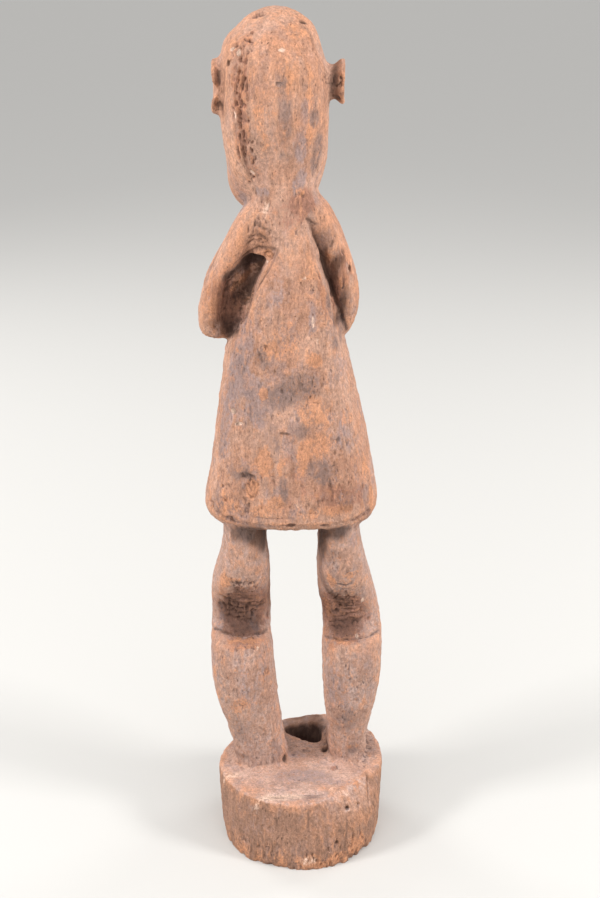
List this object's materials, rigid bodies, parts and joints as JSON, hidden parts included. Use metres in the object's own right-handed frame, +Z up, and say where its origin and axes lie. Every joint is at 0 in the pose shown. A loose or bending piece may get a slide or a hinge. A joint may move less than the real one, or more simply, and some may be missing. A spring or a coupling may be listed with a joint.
{
  "type": "wooden ancestor figure",
  "caption": "Standing carved wooden figure with disc ears, hands on the belly and a flared coat, on a round block cut from the same log.",
  "frame": {"origin": "middle of the block's flat underside", "axes": "+Z up, the figure faces -Y, its left side is at +X"},
  "size_m": [0.1648, 0.1613, 0.75],
  "materials": {
    "wood": "dry, weathered, hand-cut, with grey patina in patches"
  },
  "bodies": {
    "root": {"ancestor_figure": "wood"}
  },
  "joints": []
}
